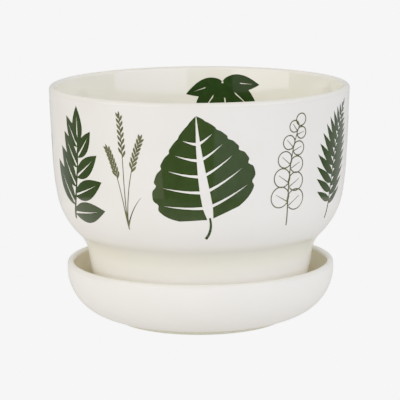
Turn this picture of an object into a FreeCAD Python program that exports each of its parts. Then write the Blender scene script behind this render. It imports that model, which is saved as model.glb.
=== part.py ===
import FreeCAD, Part
import enum
import math
import os

import Sketcher
from FreeCAD import Vector

# A stoneware flower pot that stands in its own saucer. Both are round, so each is one wall
# section turned about the Z axis. The origin is the centre of the saucer's underside and +Z is up.

DRIVING_SIZES = [
    ("rim_diameter", 160.0, "over the pot's lip"),
    ("pot_height", 118.5, "from the foot's underside to the top of the lip"),
    ("pot_wall", 3.8, "the lip is a full round of this thickness"),
    ("side_taper", 2.4, "degrees, lean of the side below the lip"),
    ("side_bend", 6.7, "degrees, turned by the side before the belly"),
    ("side_curve", 164.0, "radius of that slow turn"),
    ("belly_curve", 38.5, "radius of the turn under the bowl"),
    ("waist_curve", 18.8, "radius of the hollow between bowl and foot"),
    ("waist_height", 29.5, "where the hollow meets the foot"),
    ("foot_inset", 19.65, "from the lip's outside in to the waist"),
    ("foot_draw_in", 10.05, "from the waist in to the standing ring's outside"),
    ("foot_edge_radius", 6.0, "round from the foot's side to the standing ring"),
    ("foot_ring_width", 7.0, "flat ring that the pot stands on"),
    ("foot_recess_depth", 2.5, "hollow inside the standing ring"),
    ("base_thickness", 5.0, "clay over that hollow"),
    ("inside_corner_radius", 8.0, "between the pot's floor and wall"),
    ("drain_hole_diameter", 16.0, "through the pot's base"),
    ("pot_edge_round", 1.0, "softens the drain hole and the standing ring"),
    ("saucer_height", 32.1, "from the saucer's underside to the top of its lip"),
    ("saucer_wall", 3.6, "the lip is a full round of this thickness"),
    ("saucer_gap", 7.65, "from the pot's waist out to the saucer's lip"),
    ("saucer_ring_inset", 4.2, "the saucer's ring stands this far inside the pot's"),
    ("saucer_ring_height", 2.4, "ring under the saucer's wall"),
    ("saucer_ring_width", 6.0, "flat ring that the saucer stands on"),
    ("saucer_recess_depth", 3.4, "hollow inside that ring"),
    ("saucer_floor_rise", 2.0, "the floor is this much thicker than the wall"),
    ("saucer_corner_radius", 10.0, "between the saucer's floor and wall"),
    ("saucer_edge_round", 0.8, "softens the saucer's ring"),
]

# Lines that the two pieces share: the pot's waist and standing ring, and the saucer's floor.
WAIST_RADIUS = "(Sizes.rim_diameter / 2 - Sizes.foot_inset)"
STANDING_RADIUS = f"({WAIST_RADIUS} - Sizes.foot_draw_in)"
SEAT_HEIGHT = "(Sizes.saucer_ring_height + Sizes.saucer_wall + Sizes.saucer_floor_rise)"

FULL_TURN = 360
MATCH = 1e-4
CUBIC_CM = 1000


class At(enum.IntEnum):
    """A sketch's numbers for the points of an edge."""

    START = 1
    END = 2
    CENTRE = 3


class Axis(enum.IntEnum):
    """A sketch's numbers for its own axes: the ground line and the line that the section turns about."""

    GROUND = -1
    TURN = -2


def make_sheet(doc):
    """Write the driving sizes, one to a row, each with its own alias."""
    sheet = doc.addObject("Spreadsheet::Sheet", "Sizes")
    for row, (name, value, note) in enumerate(DRIVING_SIZES, start=1):
        sheet.set(f"A{row}", name)
        sheet.set(f"B{row}", str(value))
        sheet.setAlias(f"B{row}", name)
        sheet.set(f"C{row}", note)
    doc.recompute()
    return sheet


def origin_plane(body, role):
    """Find one of a body's own origin planes."""
    return next(plane for plane in body.Origin.OriginFeatures if plane.Role == role)


def outward(slope):
    """Normal of a wall that leans in by the slope on its way down."""
    return Vector(math.cos(slope), -math.sin(slope), 0)


class Section:
    """A wall section on a body's XZ plane, where x is the radius and y the height."""

    def __init__(self, body, name):
        self.body = body
        self.sketch = body.newObject("Sketcher::SketchObject", name)
        self.sketch.AttachmentSupport = (origin_plane(body, "XZ_Plane"), [""])
        self.sketch.MapMode = "FlatFace"
        self.edges = {}

    def line(self, name, start, end):
        """Add a straight edge."""
        self.edges[name] = self.sketch.addGeometry(Part.LineSegment(start, end), False)

    def arc(self, name, centre, radius, first, last):
        """Add a round edge, counter-clockwise between two angles in radians."""
        circle = Part.Circle(centre, Vector(0, 0, 1), radius)
        self.edges[name] = self.sketch.addGeometry(Part.ArcOfCircle(circle, first, last), False)

    def rule(self, kind, *where):
        """Add a constraint, with edges given by name."""
        places = [self.edges.get(place, place) for place in where]
        return self.sketch.addConstraint(Sketcher.Constraint(kind, *places))

    def size(self, name, expression, kind, *where):
        """Drive one size of the section from the sheet."""
        value = float(self.sketch.evalExpression(expression))
        datum = math.radians(value) if kind == "Angle" else value
        index = self.rule(kind, *where, datum)
        self.sketch.renameConstraint(index, name)
        self.sketch.setExpression(f"Constraints.{name}", expression)

    def point(self, edge, end):
        """Give a point of the section as radius and height."""
        return self.sketch.getPoint(self.edges[edge], end)

    def join(self, first, second, kind):
        """Close two neighbouring edges at the ends that they share."""
        for one in (At.START, At.END):
            for two in (At.START, At.END):
                if (self.point(first, one) - self.point(second, two)).Length < MATCH:
                    self.rule(kind, first, one, second, two)
                    return
        raise RuntimeError(f"{self.sketch.Name}: {first} and {second} do not meet")

    def join_all(self, loop, smooth):
        """Close the whole loop: smooth pairs are tangent and the others meet at a corner."""
        for first, second in zip(loop, loop[1:] + loop[:1]):
            self.join(first, second, "Tangent" if (first, second) in smooth else "Coincident")

    def turn(self, name):
        """Turn the section once round the Z axis."""
        solid = self.body.newObject("PartDesign::Revolution", name)
        solid.Profile = self.sketch
        solid.ReferenceAxis = (self.sketch, ["V_Axis"])
        solid.Angle = FULL_TURN
        self.body.Document.recompute()
        return solid


def round_edges(feature, name, places, expression):
    """Round the circular edges of a feature that pass through the given radii and heights."""
    names = []
    for index, edge in enumerate(feature.Shape.Edges, start=1):
        curve = edge.Curve
        if not isinstance(curve, Part.Circle):
            continue
        for radius, height in places:
            if abs(curve.Radius - radius) < MATCH and abs(curve.Center.z - height) < MATCH:
                names.append(f"Edge{index}")
    body = feature.getParentGeoFeatureGroup()
    fillet = body.newObject("PartDesign::Fillet", name)
    fillet.Base = (feature, names)
    fillet.setExpression("Radius", expression)
    body.Document.recompute()
    return fillet


def pot_section(body, sheet):
    """Draw the pot's wall: lip, side, belly, waist and foot outside, and the same line inside."""
    wall = sheet.pot_wall
    lip = Vector(sheet.rim_diameter / 2 - wall / 2, sheet.pot_height - wall / 2, 0)
    waist = Vector(sheet.rim_diameter / 2 - sheet.foot_inset, sheet.waist_height, 0)
    standing_edge = waist.x - sheet.foot_draw_in
    floor = sheet.foot_recess_depth + sheet.base_thickness
    underside = -math.pi / 2

    # The foot's side is the tangent from the waist to the round above the standing ring.
    foot_round = Vector(standing_edge, sheet.foot_edge_radius, 0)
    reach = waist - foot_round
    foot_slope = math.acos(sheet.foot_edge_radius / reach.Length) - math.atan2(reach.y, reach.x)
    foot_normal = outward(foot_slope)

    # From the lip down, the wall leans in by the taper, then by the taper and the side's bend, and
    # then by the steepest slope, where the belly's round meets the waist's hollow.
    taper = math.radians(sheet.side_taper)
    side_end = taper + math.radians(sheet.side_bend)
    waist_centre = waist + foot_normal * sheet.waist_curve
    rounds = sheet.belly_curve + sheet.waist_curve
    run = (waist_centre - lip).dot(outward(taper)) - wall / 2 + sheet.side_curve
    run -= (sheet.side_curve - sheet.belly_curve) * math.cos(side_end - taper)
    steepest = taper + math.acos(run / rounds)
    belly_centre = waist_centre - outward(steepest) * rounds
    side_centre = belly_centre - outward(side_end) * (sheet.side_curve - sheet.belly_curve)

    section = Section(body, "PotSection")
    section.arc("lip", lip, wall / 2, -taper, math.pi - taper)
    foot_tops = {}
    for face, depth in (("outer", 0), ("inner", wall)):
        side_top = lip + outward(taper) * (wall / 2 - depth)
        side_foot = side_centre + outward(taper) * (sheet.side_curve - depth)
        section.line(f"{face}_side", side_foot, side_top)
        section.arc(f"{face}_bend", side_centre, sheet.side_curve - depth, -side_end, -taper)
        section.arc(f"{face}_belly", belly_centre, sheet.belly_curve - depth, -steepest, -side_end)
        section.arc(f"{face}_waist", waist_centre, sheet.waist_curve + depth,
                    math.pi - steepest, math.pi - foot_slope)
        foot_tops[face] = waist - foot_normal * depth

    section.line("outer_foot", foot_round + foot_normal * sheet.foot_edge_radius, foot_tops["outer"])
    section.arc("foot_edge", foot_round, sheet.foot_edge_radius, underside, -foot_slope)
    ring_outside = Vector(standing_edge, 0, 0)
    ring_inside = Vector(standing_edge - sheet.foot_ring_width, 0, 0)
    recess_corner = Vector(ring_inside.x, sheet.foot_recess_depth, 0)
    recess_middle = Vector(0, sheet.foot_recess_depth, 0)
    section.line("ring", ring_outside, ring_inside)
    section.line("recess_side", ring_inside, recess_corner)
    section.line("recess_top", recess_corner, recess_middle)
    section.line("middle", recess_middle, Vector(0, floor, 0))

    corner = sheet.inside_corner_radius
    corner_height = floor + corner
    corner_reach = foot_tops["inner"].dot(foot_normal) - corner + corner_height * math.sin(foot_slope)
    corner_centre = Vector(corner_reach / math.cos(foot_slope), corner_height, 0)
    section.line("floor", Vector(0, floor, 0), Vector(corner_centre.x, floor, 0))
    section.arc("inside_corner", corner_centre, corner, underside, -foot_slope)
    section.line("inner_foot", corner_centre + foot_normal * corner, foot_tops["inner"])

    loop = ["lip", "outer_side", "outer_bend", "outer_belly", "outer_waist", "outer_foot", "foot_edge",
            "ring", "recess_side", "recess_top", "middle", "floor", "inside_corner",
            "inner_foot", "inner_waist", "inner_belly", "inner_bend", "inner_side"]
    corners = {"ring", "recess_side", "recess_top", "middle"}
    pairs = zip(loop, loop[1:] + loop[:1])
    section.join_all(loop, {pair for pair in pairs if pair[0] not in corners})

    for level in ("ring", "recess_top", "floor"):
        section.rule("Horizontal", level)
    for upright in ("recess_side", "middle"):
        section.rule("Vertical", upright)
    section.rule("PointOnObject", "ring", At.START, Axis.GROUND)
    section.rule("PointOnObject", "middle", At.START, Axis.TURN)
    section.rule("Parallel", "outer_side", "inner_side")
    section.rule("Parallel", "outer_foot", "inner_foot")
    for curve in ("bend", "belly", "waist"):
        section.rule("Coincident", f"outer_{curve}", At.CENTRE, f"inner_{curve}", At.CENTRE)

    half_wall = "Sizes.pot_wall / 2"
    section.size("lip_radius", half_wall, "Radius", "lip")
    section.size("lip_reach", f"Sizes.rim_diameter / 2 - {half_wall}", "DistanceX", "lip", At.CENTRE)
    section.size("lip_level", f"Sizes.pot_height - {half_wall}", "DistanceY", "lip", At.CENTRE)
    section.size("side_lean", "90 - Sizes.side_taper", "Angle", "outer_side")
    section.size("side_bend", "Sizes.side_bend", "Angle", "outer_bend")
    section.size("side_curve", "Sizes.side_curve", "Radius", "outer_bend")
    section.size("belly_curve", "Sizes.belly_curve", "Radius", "outer_belly")
    section.size("waist_curve", "Sizes.waist_curve", "Radius", "outer_waist")
    section.size("waist_reach", WAIST_RADIUS, "DistanceX", "outer_foot", At.END)
    section.size("waist_level", "Sizes.waist_height", "DistanceY", "outer_foot", At.END)
    section.size("foot_edge", "Sizes.foot_edge_radius", "Radius", "foot_edge")
    section.size("ring_outside", STANDING_RADIUS, "DistanceX", "ring", At.START)
    section.size("ring_inside", f"{STANDING_RADIUS} - Sizes.foot_ring_width", "DistanceX", "ring", At.END)
    section.size("recess_depth", "Sizes.foot_recess_depth", "DistanceY", "recess_side", At.END)
    section.size("floor_level", "Sizes.foot_recess_depth + Sizes.base_thickness",
                 "DistanceY", "floor", At.START)
    section.size("inside_corner", "Sizes.inside_corner_radius", "Radius", "inside_corner")
    return section


def drain_hole(body):
    """Cut the round drain hole up through the pot's base."""
    sketch = body.newObject("Sketcher::SketchObject", "DrainSketch")
    sketch.AttachmentSupport = (origin_plane(body, "XY_Plane"), [""])
    sketch.MapMode = "FlatFace"
    radius = "Sizes.drain_hole_diameter / 2"
    start_radius = float(sketch.evalExpression(radius))
    circle = sketch.addGeometry(Part.Circle(Vector(), Vector(0, 0, 1), start_radius), False)
    sketch.addConstraint(Sketcher.Constraint("Coincident", circle, At.CENTRE, Axis.GROUND, At.START))
    index = sketch.addConstraint(Sketcher.Constraint("Radius", circle, start_radius))
    sketch.renameConstraint(index, "hole_radius")
    sketch.setExpression("Constraints.hole_radius", radius)
    hole = body.newObject("PartDesign::Pocket", "DrainHole")
    hole.Profile = sketch
    hole.Type = "ThroughAll"
    hole.Reversed = True
    body.Document.recompute()
    return hole


def make_pot(doc, sheet):
    """Build the pot and stand it on the saucer's floor."""
    body = doc.addObject("PartDesign::Body", "Pot")
    body.Label = "pot"
    section = pot_section(body, sheet)
    section.turn("PotWall")
    hole = drain_hole(body)
    hole_radius = sheet.drain_hole_diameter / 2
    ring_edge = section.point("ring", At.END)
    recess_edge = section.point("recess_side", At.END)
    floor_level = section.point("floor", At.START).y
    soft_edges = [
        (ring_edge.x, ring_edge.y),
        (recess_edge.x, recess_edge.y),
        (hole_radius, recess_edge.y),
        (hole_radius, floor_level),
    ]
    round_edges(hole, "PotEdges", soft_edges, "Sizes.pot_edge_round")
    body.setExpression("Placement.Base.z", SEAT_HEIGHT)
    return body


def saucer_section(body, sheet):
    """Draw the saucer: a standing ring, one round wall up to the lip, and a flat floor inside."""
    wall = sheet.saucer_wall
    waist_radius = sheet.rim_diameter / 2 - sheet.foot_inset
    ring_outside = waist_radius - sheet.foot_draw_in - sheet.saucer_ring_inset
    ring_inside = ring_outside - sheet.saucer_ring_width
    ring_top = sheet.saucer_ring_height
    floor = ring_top + wall + sheet.saucer_floor_rise
    underside = -math.pi / 2

    # The wall's round leaves the ring level and ends in the lip, and those two fix its radius.
    lip = Vector(waist_radius + sheet.saucer_gap + wall / 2, sheet.saucer_height - wall / 2, 0)
    lip_run = lip.x - ring_outside
    lip_rise = lip.y - ring_top
    radius = (lip_run ** 2 + lip_rise ** 2 - (wall / 2) ** 2) / (2 * lip_rise - wall)
    centre = Vector(ring_outside, ring_top + radius, 0)
    lip_angle = math.atan2(lip.y - centre.y, lip.x - centre.x)

    # The floor's corner touches the floor and the inside of the wall.
    corner = sheet.saucer_corner_radius
    drop = centre.y - floor - corner
    corner_run = math.sqrt((radius - wall - corner) ** 2 - drop ** 2)
    corner_centre = Vector(centre.x + corner_run, floor + corner, 0)
    corner_angle = math.atan2(-drop, corner_run)

    section = Section(body, "SaucerSection")
    section.arc("lip", lip, wall / 2, lip_angle, lip_angle + math.pi)
    section.arc("outer_wall", centre, radius, underside, lip_angle)
    section.arc("inner_wall", centre, radius - wall, corner_angle, lip_angle)
    section.arc("floor_corner", corner_centre, corner, underside, corner_angle)
    ring_corner = Vector(ring_outside, ring_top, 0)
    recess_corner = Vector(ring_inside, sheet.saucer_recess_depth, 0)
    recess_middle = Vector(0, sheet.saucer_recess_depth, 0)
    section.line("ring_side", ring_corner, Vector(ring_outside, 0, 0))
    section.line("ring", Vector(ring_outside, 0, 0), Vector(ring_inside, 0, 0))
    section.line("recess_side", Vector(ring_inside, 0, 0), recess_corner)
    section.line("recess_top", recess_corner, recess_middle)
    section.line("middle", recess_middle, Vector(0, floor, 0))
    section.line("floor", Vector(0, floor, 0), Vector(corner_centre.x, floor, 0))

    loop = ["lip", "outer_wall", "ring_side", "ring", "recess_side", "recess_top",
            "middle", "floor", "floor_corner", "inner_wall"]
    smooth = {("lip", "outer_wall"), ("floor", "floor_corner"),
              ("floor_corner", "inner_wall"), ("inner_wall", "lip")}
    section.join_all(loop, smooth)
    for level in ("ring", "recess_top", "floor"):
        section.rule("Horizontal", level)
    for upright in ("ring_side", "recess_side", "middle"):
        section.rule("Vertical", upright)
    section.rule("PointOnObject", "ring", At.START, Axis.GROUND)
    section.rule("PointOnObject", "middle", At.START, Axis.TURN)
    section.rule("Coincident", "outer_wall", At.CENTRE, "inner_wall", At.CENTRE)
    section.rule("Vertical", "outer_wall", At.CENTRE, "outer_wall", At.START)

    half_wall = "Sizes.saucer_wall / 2"
    ring_edge = f"{STANDING_RADIUS} - Sizes.saucer_ring_inset"
    section.size("lip_radius", half_wall, "Radius", "lip")
    lip_reach = f"{WAIST_RADIUS} + Sizes.saucer_gap + {half_wall}"
    section.size("lip_reach", lip_reach, "DistanceX", "lip", At.CENTRE)
    section.size("lip_level", f"Sizes.saucer_height - {half_wall}", "DistanceY", "lip", At.CENTRE)
    section.size("ring_outside", ring_edge, "DistanceX", "ring", At.START)
    section.size("ring_inside", f"{ring_edge} - Sizes.saucer_ring_width", "DistanceX", "ring", At.END)
    section.size("ring_top", "Sizes.saucer_ring_height", "DistanceY", "ring_side", At.START)
    section.size("recess_depth", "Sizes.saucer_recess_depth", "DistanceY", "recess_side", At.END)
    section.size("floor_level", SEAT_HEIGHT, "DistanceY", "floor", At.START)
    section.size("floor_corner", "Sizes.saucer_corner_radius", "Radius", "floor_corner")
    return section


def make_saucer(doc, sheet):
    """Build the saucer on the origin."""
    body = doc.addObject("PartDesign::Body", "Saucer")
    body.Label = "saucer"
    section = saucer_section(body, sheet)
    dish = section.turn("SaucerWall")
    soft_corners = [section.point(edge, At.END) for edge in ("ring_side", "ring", "recess_side")]
    soft_corners.append(section.point("ring_side", At.START))
    soft_edges = [(corner.x, corner.y) for corner in soft_corners]
    round_edges(dish, "SaucerEdges", soft_edges, "Sizes.saucer_edge_round")
    return body


def check(doc, bodies):
    """Stop before anything is written if a feature failed or a shape is not one valid solid."""
    for item in doc.Objects:
        if "Invalid" in item.State or "Error" in item.State:
            raise RuntimeError(f"{item.Name} failed: {item.State}")
        if item.TypeId == "Sketcher::SketchObject" and not item.FullyConstrained:
            raise RuntimeError(f"{item.Name} is not fully constrained")
    for body in bodies:
        shape = body.Shape
        if shape.isNull() or not shape.isValid() or len(shape.Solids) != 1:
            raise RuntimeError(f"{body.Label} is not one valid solid")
        box = shape.optimalBoundingBox(False)
        print(f"{body.Label}: {box.XLength:.2f} x {box.YLength:.2f} x {box.ZLength:.2f} mm, "
              f"bottom {box.ZMin:.2f} mm, {shape.Volume / CUBIC_CM:.1f} cm3")


def main():
    """Build both pieces and write one file for each."""
    doc = FreeCAD.newDocument("FlowerPot")
    sheet = make_sheet(doc)
    bodies = [make_saucer(doc, sheet), make_pot(doc, sheet)]
    doc.recompute()
    check(doc, bodies)
    os.makedirs("parts", exist_ok=True)
    for body in bodies:
        body.Shape.exportStep(f"parts/{body.Label}.step")


main()
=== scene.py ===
"""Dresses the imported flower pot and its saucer.

Both are stoneware in a glossy cream glaze, with bare clay standing rings. The pot has a leaf print.
"""

import enum
import logging
import math
from dataclasses import dataclass, field, replace
from typing import Protocol

import bpy
from mathutils import Matrix, Vector
from mathutils.geometry import delaunay_2d_cdt


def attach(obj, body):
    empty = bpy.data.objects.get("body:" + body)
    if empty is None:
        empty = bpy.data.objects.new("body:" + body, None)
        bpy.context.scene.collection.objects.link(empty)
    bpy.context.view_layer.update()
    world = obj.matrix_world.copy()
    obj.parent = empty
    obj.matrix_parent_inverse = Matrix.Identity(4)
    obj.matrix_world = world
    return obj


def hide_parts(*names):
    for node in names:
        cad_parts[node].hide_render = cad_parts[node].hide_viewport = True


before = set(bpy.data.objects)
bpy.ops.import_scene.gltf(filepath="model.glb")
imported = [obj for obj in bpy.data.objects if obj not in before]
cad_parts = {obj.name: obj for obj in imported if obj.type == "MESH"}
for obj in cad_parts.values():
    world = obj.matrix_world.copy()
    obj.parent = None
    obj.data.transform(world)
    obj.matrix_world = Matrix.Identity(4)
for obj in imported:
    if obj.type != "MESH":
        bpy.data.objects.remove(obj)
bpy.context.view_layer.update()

MM = 0.001  # one millimetre in the scene's metres
TURN_STEPS = 288  # steps round the axis, 1.7 mm apart at the rim
SAG = 0.004  # mm that a section's arc may stand off its chords
LEAST_CHORDS = 3  # of a section's smallest arc
ON_AXIS = 1e-6  # mm from the axis within which a point lies on it
LOG = logging.getLogger("flower_pot")
SHADER = "Principled BSDF"
# A Mix node's colour sockets go by number, because its names repeat.
SHARE, UNDER, OVER, MIXED = 0, 6, 7, 2

Colour = tuple[float, float, float, float]
Outline = list[Vector]
Faces = list[list[int]]
Piece = bpy.types.Object
Material = bpy.types.Material
Tree = bpy.types.NodeTree
Socket = bpy.types.NodeSocket


class Coat(enum.IntEnum):
    """The material slot of a band on a fired piece."""

    GLAZED = 0
    BARE = 1
    POURED = 2


class Ink(enum.Enum):
    """The colours of the print: leaves outside, leaves inside under the thicker glaze, and line work."""

    GREEN = "green"
    DEEP = "deep"
    OLIVE = "olive"


class Face(enum.Enum):
    """The face of the pot's wall that a print lies on."""

    OUTSIDE = "outside"
    INSIDE = "inside"


# Finishes


def linear(code: str) -> Colour:
    """Turn an sRGB hex colour into a linear one.

    Args:
        code: the colour as #RRGGBB.

    Returns:
        Red, green, blue and an alpha of 1.
    """
    channels = [int(code[place:place + 2], 16) / 255 for place in (1, 3, 5)]
    red, green, blue = [c / 12.92 if c <= 0.04045 else ((c + 0.055) / 1.055) ** 2.4 for c in channels]
    return red, green, blue, 1.0


def per_metre(size: float) -> float:
    """Give the texture scale whose features are that many millimetres across."""
    return 1 / (size * MM)


def set_inputs(tree: Tree, node: bpy.types.Node, inputs: dict[str | int, object]) -> None:
    """Set or link a node's inputs.

    Args:
        tree: the node's tree.
        node: the node.
        inputs: a value, or the socket that feeds it, for each input by name or number.
    """
    for key, value in inputs.items():
        if isinstance(value, Socket):
            tree.links.new(value, node.inputs[key])
        else:
            node.inputs[key].default_value = value


def add_node(tree: Tree, kind: str, inputs: dict[str | int, object] | None = None,
             **settings: object) -> bpy.types.Node:
    """Add a node with its settings, input values and links.

    Args:
        tree: the node tree that gets the node.
        kind: the node's Blender type.
        inputs: its inputs, as set_inputs takes them.
        settings: the node's own properties.

    Returns:
        The new node.
    """
    node = tree.nodes.new(kind)
    for name, setting in settings.items():
        setattr(node, name, setting)
    set_inputs(tree, node, inputs or {})
    return node


def start_material(name: str) -> tuple[Material, Tree, Socket]:
    """Start a material.

    Args:
        name: the material's name.

    Returns:
        The material, its node tree, and the object coordinates that keep a pattern fast on the piece.
    """
    material = bpy.data.materials.new(name)
    material.use_nodes = True
    tree = material.node_tree
    return material, tree, add_node(tree, "ShaderNodeTexCoord").outputs["Object"]


@dataclass(frozen=True)
class Mottle:
    """Soft patches of a second tone."""

    size: float  # mm across a patch
    detail: float  # how many finer sizes break it up
    ragged: float  # how strongly they do
    start: float  # the noise at which the second tone begins
    full: float  # and at which it is full

    def over(self, tree: Tree, place: Socket, ground: str, patches: str) -> tuple[Socket, Socket]:
        """Lay the patches over the ground.

        Args:
            tree: the material's node tree.
            place: the object coordinates.
            ground: the first tone as hex.
            patches: the second tone as hex.

        Returns:
            The mottled colour, and the noise that it follows.
        """
        noise = add_node(tree, "ShaderNodeTexNoise",
                         {"Vector": place, "Scale": per_metre(self.size), "Detail": self.detail,
                          "Roughness": self.ragged}).outputs[0]
        share = add_node(tree, "ShaderNodeMapRange",
                         {"Value": noise, "From Min": self.start, "From Max": self.full}).outputs[0]
        tones = {SHARE: share, UNDER: linear(ground), OVER: linear(patches)}
        return add_node(tree, "ShaderNodeMix", tones, data_type="RGBA").outputs[MIXED], noise


@dataclass(frozen=True)
class Band:
    """A height above the table where the glaze is thicker or thinner, and the tone that this gives it, which
    also stands for painted shade or painted light there.
    """

    height: float  # mm
    reach: float  # mm above and below it over which the tone fades
    tone: str
    strength: float = 0.75

    def over(self, tree: Tree, height: Socket, ground: Socket) -> Socket:
        """Lay the band over a colour.

        Args:
            tree: the material's node tree.
            height: the height above the table in metres.
            ground: the colour so far.

        Returns:
            The colour with the band.
        """
        off = add_node(tree, "ShaderNodeMath", {0: height, 1: self.height * MM}, operation="SUBTRACT")
        away = add_node(tree, "ShaderNodeMath", {0: off.outputs[0]}, operation="ABSOLUTE")
        depth = add_node(tree, "ShaderNodeMapRange",
                         {"Value": away.outputs[0], "From Min": 0.0, "From Max": self.reach * MM,
                          "To Min": self.strength, "To Max": 0.0}, interpolation_type="SMOOTHSTEP")
        tones = {SHARE: depth.outputs[0], UNDER: ground, OVER: linear(self.tone)}
        return add_node(tree, "ShaderNodeMix", tones, data_type="RGBA").outputs[MIXED]


@dataclass(frozen=True)
class GlazeSkin:
    """The glassy skin that the glaze and the print under it share.

    A dipped glaze melts to glass in the kiln. It levels out but keeps slow swells and a faint orange peel,
    so reflections of the lamps have soft, slightly wavering edges.
    """

    ior: float = 1.52
    roughness: float = 0.06
    roughness_spread: float = 0.04  # between its duller and glossier places
    smear: float = 18.0  # mm between those places
    smear_detail: float = 3.0  # how many finer sizes break them up
    smear_range: tuple[float, float] = (0.3, 0.7)  # the noise at the glossiest and at the dullest
    swell: float = 34.0  # mm between the slow swells
    swell_depth: float = 0.05
    peel: float = 2.6  # mm between the dimples of the orange peel
    peel_depth: float = 0.0035

    def cover(self, tree: Tree, place: Socket) -> None:
        """Give a material's shader the skin's gloss and relief.

        Args:
            tree: the material's node tree.
            place: the object coordinates.
        """
        smear = add_node(tree, "ShaderNodeTexNoise",
                         {"Vector": place, "Scale": per_metre(self.smear), "Detail": self.smear_detail})
        gloss = add_node(tree, "ShaderNodeMapRange",
                         {"Value": smear.outputs[0], "From Min": self.smear_range[0],
                          "From Max": self.smear_range[1],
                          "To Min": self.roughness - self.roughness_spread / 2,
                          "To Max": self.roughness + self.roughness_spread / 2})
        relief: dict[str | int, object] = {}
        for size, depth in ((self.swell, self.swell_depth), (self.peel, self.peel_depth)):
            noise = add_node(tree, "ShaderNodeTexNoise",
                             {"Vector": place, "Scale": per_metre(size), "Detail": 1.0})
            bump = add_node(tree, "ShaderNodeBump",
                            {"Height": noise.outputs[0], "Strength": 1.0, "Distance": depth * MM, **relief})
            relief = {"Normal": bump.outputs[0]}
        set_inputs(tree, tree.nodes[SHADER], {"IOR": self.ior, "Roughness": gloss.outputs[0], **relief})


@dataclass(frozen=True)
class CreamGlaze:
    """Glossy cream glaze on stoneware, dipped or poured, and fired.

    The eye gets a warm white with gloss over it, faintly clouded where the coat was thicker. Its bands are
    partly real and partly painted:
    another tone where the melt gathered, which is painted shade in the hollows and painted light on the
    pot's floor inside, and a greyer tone where it ran thin off the lips, which is painted shade on their lit
    tops.
    """

    colour: str = "#FAF7F0"
    cloud: str = "#F7F4EB"
    # Tone of pooled glaze that is also painted shade in hollows and painted light on the pot's floor inside.
    pooled_and_painted_shading: str = "#F1EED6"
    # Tone of thin glaze that is also painted shade on the lips' lit tops.
    thin: str = "#E0DCCD"
    speck: str = "#CFC5AE"
    clouds: Mottle = Mottle(size=26.0, detail=4.0, ragged=0.55, start=0.35, full=0.65)
    speck_gap: float = 7.0  # mm between iron specks of the clay that show through the glaze
    speck_core: float = 0.02  # where a speck is darkest, as a share of that gap: 0.3 mm across
    speck_edge: float = 0.05  # where it ends: 0.7 mm across
    speck_strength: float = 0.5
    skin: GlazeSkin = GlazeSkin()

    def material(self, name: str, bands: list[Band]) -> Material:
        """Make the glaze for one piece.

        Args:
            name: the material's name.
            bands: the heights where this piece's glaze is thick or thin.

        Returns:
            The material.
        """
        material, tree, place = start_material(name)
        tone, _ = self.clouds.over(tree, place, self.colour, self.cloud)
        height = add_node(tree, "ShaderNodeSeparateXYZ", {0: place}).outputs[2]
        for band in bands:
            tone = band.over(tree, height, tone)
        specks = add_node(tree, "ShaderNodeTexVoronoi",
                          {"Vector": place, "Scale": per_metre(self.speck_gap)})
        dot = add_node(tree, "ShaderNodeMapRange",
                       {"Value": specks.outputs["Distance"], "From Min": self.speck_core,
                        "From Max": self.speck_edge, "To Min": self.speck_strength, "To Max": 0.0})
        tones = {SHARE: dot.outputs[0], UNDER: tone, OVER: linear(self.speck)}
        specked = add_node(tree, "ShaderNodeMix", tones, data_type="RGBA").outputs[MIXED]
        set_inputs(tree, tree.nodes[SHADER], {"Base Color": specked})
        self.skin.cover(tree, place)
        return material


@dataclass(frozen=True)
class PrintInk:
    """Ceramic colour printed on a transfer and fired under the clear glaze.

    The eye gets a deep even colour with the glaze's gloss on top, a little lighter where it took thinly.
    """

    colour: str
    thin: str
    patches: Mottle = Mottle(size=5.0, detail=5.0, ragged=0.6, start=0.35, full=0.7)
    skin: GlazeSkin = GlazeSkin()

    def material(self, name: str) -> Material:
        """Make the ink's material.

        Args:
            name: the material's name.

        Returns:
            The material.
        """
        material, tree, place = start_material(name)
        tone, _ = self.patches.over(tree, place, self.colour, self.thin)
        set_inputs(tree, tree.nodes[SHADER], {"Base Color": tone})
        self.skin.cover(tree, place)
        return material


@dataclass(frozen=True)
class BareClay:
    """Unglazed stoneware, wiped clean of glaze before firing so that it doesn't stick to the kiln shelf.

    The eye gets a matt buff ring with a fine sandy grain. The real grit is 0.3 mm across, and it is drawn
    coarser so that it shows.
    """

    colour: str = "#D7D6C1"
    grain: str = "#B8B096"
    grit: Mottle = Mottle(size=0.7, detail=4.0, ragged=0.7, start=0.4, full=0.75)
    roughness: float = 0.82
    roughness_spread: float = 0.16
    relief: float = 0.03  # mm
    ior: float = 1.5

    def material(self, name: str) -> Material:
        """Make the clay's material.

        Args:
            name: the material's name.

        Returns:
            The material.
        """
        material, tree, place = start_material(name)
        tone, grit = self.grit.over(tree, place, self.colour, self.grain)
        rough = add_node(tree, "ShaderNodeMapRange",
                         {"Value": grit, "To Min": self.roughness - self.roughness_spread / 2,
                          "To Max": self.roughness + self.roughness_spread / 2})
        relief = add_node(tree, "ShaderNodeBump",
                          {"Height": grit, "Strength": 1.0, "Distance": self.relief * MM})
        set_inputs(tree, tree.nodes[SHADER], {"Base Color": tone, "Roughness": rough.outputs[0],
                                              "Normal": relief.outputs[0], "IOR": self.ior})
        return material


# Turned shapes


@dataclass(frozen=True)
class Spot:
    """A point of a section, out from the axis and up in mm, with the way its surface faces."""

    place: Vector
    facing: Vector
    coat: Coat = Coat.GLAZED


@dataclass(frozen=True)
class Straight:
    """A straight stretch of a section, walked with the air on the left."""

    start: Vector
    end: Vector
    coat: Coat = Coat.GLAZED

    def spots(self) -> list[Spot]:
        """Find the stretch's ends.

        Returns:
            Its first spot and its last.
        """
        way = (self.end - self.start).normalized()
        facing = Vector((-way.y, way.x))
        return [Spot(place, facing, self.coat) for place in (self.start, self.end)]


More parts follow.
